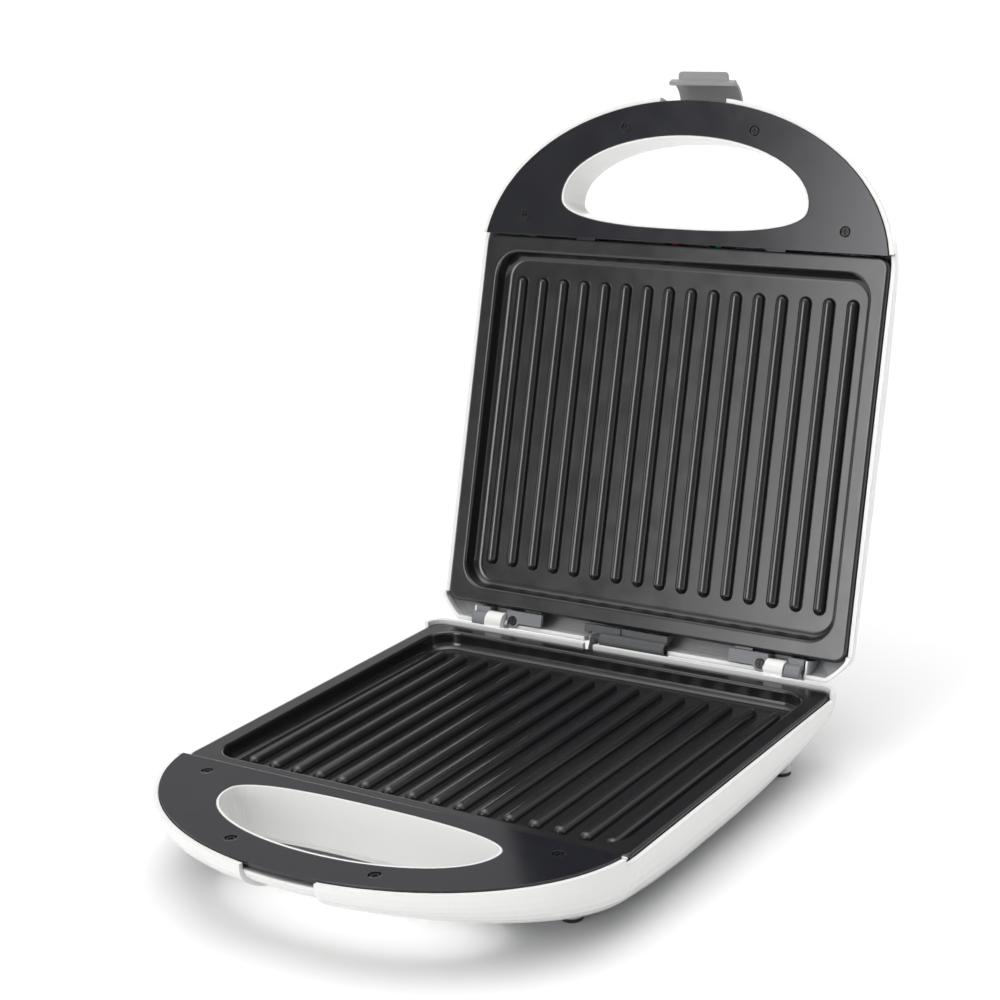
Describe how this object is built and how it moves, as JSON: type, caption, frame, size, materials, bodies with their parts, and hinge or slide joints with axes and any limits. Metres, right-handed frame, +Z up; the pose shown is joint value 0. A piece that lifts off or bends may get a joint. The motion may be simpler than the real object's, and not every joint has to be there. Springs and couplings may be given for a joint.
{
  "type": "sandwich toaster",
  "caption": "Open sandwich toaster with a hinged lid, ribbed grill plates in both halves, loop handles and a snap clip.",
  "frame": {"origin": "on the table top, midway between the front of the base and the rear of the open lid, on the centre line", "axes": "+X to the right seen from the front, +Y from the handle towards the hinge, +Z up"},
  "size_m": [0.26, 0.4138, 0.3468],
  "materials": {
    "shell": "gloss",
    "trim": "gloss",
    "dark_screw": "satin",
    "grill_coating": "satin",
    "element_sheath": "satin",
    "reflector_sheet": "satin",
    "zinc_screw": "satin",
    "rubber": "matte",
    "terminal_plastic": "matte",
    "wire_jacket": "satin",
    "sleeving": "matte",
    "hinge_grey": "satin",
    "guard_grey": "satin",
    "ceramic": "matte",
    "fuse_metal": "satin",
    "lamp_glass": "gloss",
    "red_lens": "gloss",
    "green_lens": "gloss",
    "latch_grey": "satin"
  },
  "bodies": {
    "base": {"base_shell": "shell", "base_handle_trim": "trim", "base_trim_screws": "dark_screw", "lower_grill_plate": "grill_coating", "lower_heating_element": "element_sheath", "lower_reflector": "reflector_sheet", "lower_plate_screws": "zinc_screw", "foot_pads": "rubber", "terminal_block": "terminal_plastic", "base_wiring": "wire_jacket", "cord_inlet_sleeve": "rubber", "cord_clamp": "terminal_plastic", "cord_clamp_screws": "zinc_screw", "hinge_wire_sleeve": "sleeving"},
    "lid": {"lid_shell": "shell", "lid_handle_trim": "trim", "lid_trim_screws": "dark_screw", "upper_grill_plate": "grill_coating", "upper_heating_element": "element_sheath", "upper_reflector": "reflector_sheet", "upper_reflector_screws": "zinc_screw", "hinge_bracket_left": "hinge_grey", "hinge_bracket_right": "hinge_grey", "hinge_bracket_screws": "dark_screw", "hinge_pins": "zinc_screw", "thermostat": "ceramic", "thermal_fuse": "fuse_metal", "indicator_lamps": "lamp_glass", "power_lamp_lens": "red_lens", "ready_lamp_lens": "green_lens", "lid_wiring": "wire_jacket", "wire_guard": "guard_grey", "latch_pin": "zinc_screw"},
    "latch": {"latch_clip": "latch_grey"}
  },
  "joints": [
    {"name": "lid_hinge", "type": "hinge", "parent": "base", "child": "lid", "pos_m": [0, 0.099, 0.0426], "axis": [1, 0, 0], "range_deg": [0, 106.6]},
    {"name": "latch_pivot", "type": "hinge", "parent": "lid", "child": "latch", "pos_m": [0, 0.19564, 0.32266], "axis": [1, 0, 0], "range_deg": [0, 53]}
  ]
}
